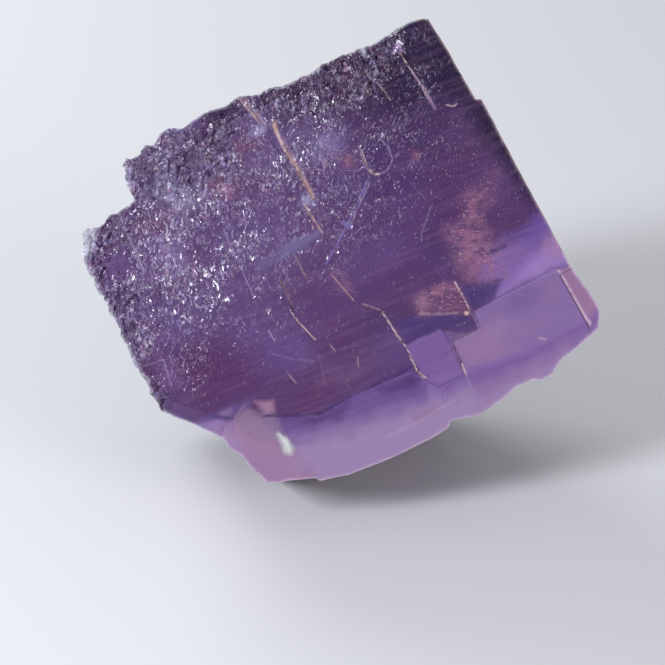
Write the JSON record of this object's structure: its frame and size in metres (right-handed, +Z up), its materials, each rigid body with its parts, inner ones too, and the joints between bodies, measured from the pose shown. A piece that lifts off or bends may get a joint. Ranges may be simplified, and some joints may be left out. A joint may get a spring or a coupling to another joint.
{
  "type": "fluorite specimen",
  "caption": "Purple fluorite crystal with one whole cube face, cleaved on its back and underside, that stands on a small flat patch of the break.",
  "frame": {"origin": "middle of the flat patch that the crystal stands on", "axes": "+Z up, -Y towards the front, which is the leaning cube face, +X to the right seen from the front"},
  "size_m": [0.0651, 0.0507, 0.0606],
  "materials": {
    "purple_fluorite": "clear to cloudy purple, etched dull in the upper left and paler at the foot"
  },
  "bodies": {
    "root": {"fluorite_crystal": "purple_fluorite"}
  },
  "joints": []
}
